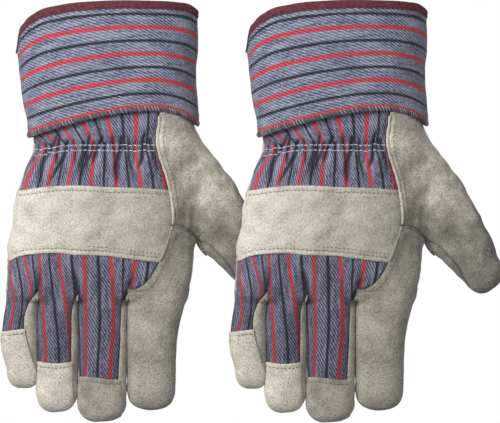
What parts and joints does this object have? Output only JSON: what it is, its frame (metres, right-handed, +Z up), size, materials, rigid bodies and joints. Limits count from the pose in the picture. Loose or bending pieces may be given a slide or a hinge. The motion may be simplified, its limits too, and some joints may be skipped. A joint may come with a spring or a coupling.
{
  "type": "work glove pair",
  "caption": "Leather-palm work gloves with striped canvas backs, leather knuckle straps and fingertips, gathered wrists and stiff safety cuffs, lying palm down.",
  "frame": {"origin": "centre of the pair's bounding box in X and Y, on the surface the gloves lie on", "axes": "+X from the first glove to the second, towards the thumbs; +Y towards the cuffs, with the fingers pointing to -Y; +Z up, away from the palms"},
  "size_m": [0.323, 0.2704, 0.0656],
  "materials": {
    "striped_canvas": "woven twill of white and blue-grey, with thin red and black stripes",
    "palm_leather": "cream-grey split leather with a short nap",
    "strap_leather": "light cream split leather",
    "index_leather": "greyer split leather",
    "binding_tape": "dark maroon woven tape",
    "hem_oversewing": "rolled canvas edge under grey and beige oversewing",
    "cuff_rubber": "off-white rubberised backing cloth, matt",
    "cotton_lining": "off-white brushed cotton",
    "elastic": "white flat ribbed elastic"
  },
  "bodies": {
    "glove1_hand": {"glove1_safety_cuff": "striped_canvas", "glove1_cuff_lining": "cuff_rubber", "glove1_cuff_binding": "binding_tape", "glove1_cuff_hem": "hem_oversewing", "glove1_back_panel": "striped_canvas", "glove1_wrist_elastic": "elastic", "glove1_knuckle_strap": "strap_leather", "glove1_index_patch": "index_leather", "glove1_thumb_saddle": "index_leather", "glove1_side_welt": "palm_leather", "glove1_palm": "palm_leather", "glove1_palm_lining": "cotton_lining"},
    "glove1_pinky": {"glove1_pinky_back": "striped_canvas", "glove1_pinky_front": "palm_leather", "glove1_pinky_cap": "palm_leather"},
    "glove1_ring": {"glove1_ring_back": "striped_canvas", "glove1_ring_front": "palm_leather", "glove1_ring_cap": "palm_leather"},
    "glove1_middle": {"glove1_middle_back": "striped_canvas", "glove1_middle_front": "palm_leather", "glove1_middle_cap": "palm_leather"},
    "glove1_index": {"glove1_index_back": "index_leather", "glove1_index_front": "index_leather"},
    "glove1_thumb": {"glove1_thumb_back": "index_leather", "glove1_thumb_front": "index_leather"},
    "glove2_hand": {"glove2_safety_cuff": "striped_canvas", "glove2_cuff_lining": "cuff_rubber", "glove2_cuff_binding": "binding_tape", "glove2_cuff_hem": "hem_oversewing", "glove2_back_panel": "striped_canvas", "glove2_wrist_elastic": "elastic", "glove2_knuckle_strap": "strap_leather", "glove2_index_patch": "index_leather", "glove2_thumb_saddle": "index_leather", "glove2_side_welt": "palm_leather", "glove2_palm": "palm_leather", "glove2_palm_lining": "cotton_lining"},
    "glove2_pinky": {"glove2_pinky_back": "striped_canvas", "glove2_pinky_front": "palm_leather", "glove2_pinky_cap": "palm_leather"},
    "glove2_ring": {"glove2_ring_back": "striped_canvas", "glove2_ring_front": "palm_leather", "glove2_ring_cap": "palm_leather"},
    "glove2_middle": {"glove2_middle_back": "striped_canvas", "glove2_middle_front": "palm_leather", "glove2_middle_cap": "palm_leather"},
    "glove2_index": {"glove2_index_back": "index_leather", "glove2_index_front": "index_leather"},
    "glove2_thumb": {"glove2_thumb_back": "index_leather", "glove2_thumb_front": "index_leather"}
  },
  "joints": [
    {"name": "glove1_pinky_bend", "type": "hinge", "parent": "glove1_hand", "child": "glove1_pinky", "pos_m": [-0.14907, -0.05075, 0], "axis": [1, 0, 0], "range_deg": [-6, 70], "stiffness_Nm_per_rad": 0.06},
    {"name": "glove1_ring_bend", "type": "hinge", "parent": "glove1_hand", "child": "glove1_ring", "pos_m": [-0.12547, -0.05075, 0], "axis": [1, 0, 0], "range_deg": [-6, 70], "stiffness_Nm_per_rad": 0.06},
    {"name": "glove1_middle_bend", "type": "hinge", "parent": "glove1_hand", "child": "glove1_middle", "pos_m": [-0.09617, -0.05075, 0], "axis": [1, 0, 0], "range_deg": [-6, 70], "stiffness_Nm_per_rad": 0.06},
    {"name": "glove1_index_bend", "type": "hinge", "parent": "glove1_hand", "child": "glove1_index", "pos_m": [-0.06007, -0.05075, 0], "axis": [1, 0, 0], "range_deg": [-6, 70], "stiffness_Nm_per_rad": 0.06},
    {"name": "glove1_thumb_bend", "type": "hinge", "parent": "glove1_hand", "child": "glove1_thumb", "pos_m": [-0.0207, -0.0062, 0], "axis": [0.8387, 0.5446, 0], "range_deg": [0, 50], "stiffness_Nm_per_rad": 0.06},
    {"name": "glove2_pinky_bend", "type": "hinge", "parent": "glove2_hand", "child": "glove2_pinky", "pos_m": [-0.00234, -0.05075, 0.01426], "axis": [0.9956, 0, -0.0941], "range_deg": [-6, 70], "stiffness_Nm_per_rad": 0.06},
    {"name": "glove2_ring_bend", "type": "hinge", "parent": "glove2_hand", "child": "glove2_ring", "pos_m": [0.02116, -0.05075, 0.01204], "axis": [0.9956, 0, -0.0941], "range_deg": [-6, 70], "stiffness_Nm_per_rad": 0.06},
    {"name": "glove2_middle_bend", "type": "hinge", "parent": "glove2_hand", "child": "glove2_middle", "pos_m": [0.05033, -0.05075, 0.00928], "axis": [0.9956, 0, -0.0941], "range_deg": [-6, 70], "stiffness_Nm_per_rad": 0.06},
    {"name": "glove2_index_bend", "type": "hinge", "parent": "glove2_hand", "child": "glove2_index", "pos_m": [0.08626, -0.05075, 0.00588], "axis": [0.9956, 0, -0.0941], "range_deg": [-6, 70], "stiffness_Nm_per_rad": 0.06},
    {"name": "glove2_thumb_bend", "type": "hinge", "parent": "glove2_hand", "child": "glove2_thumb", "pos_m": [0.12545, -0.0062, 0.00218], "axis": [0.8349, 0.5446, -0.0789], "range_deg": [0, 50], "stiffness_Nm_per_rad": 0.06},
    {"name": "glove2_lift", "type": "slide", "parent": "glove1_hand", "child": "glove2_hand", "axis": [0, 0, 1], "range_m": [0, 0.12]}
  ]
}
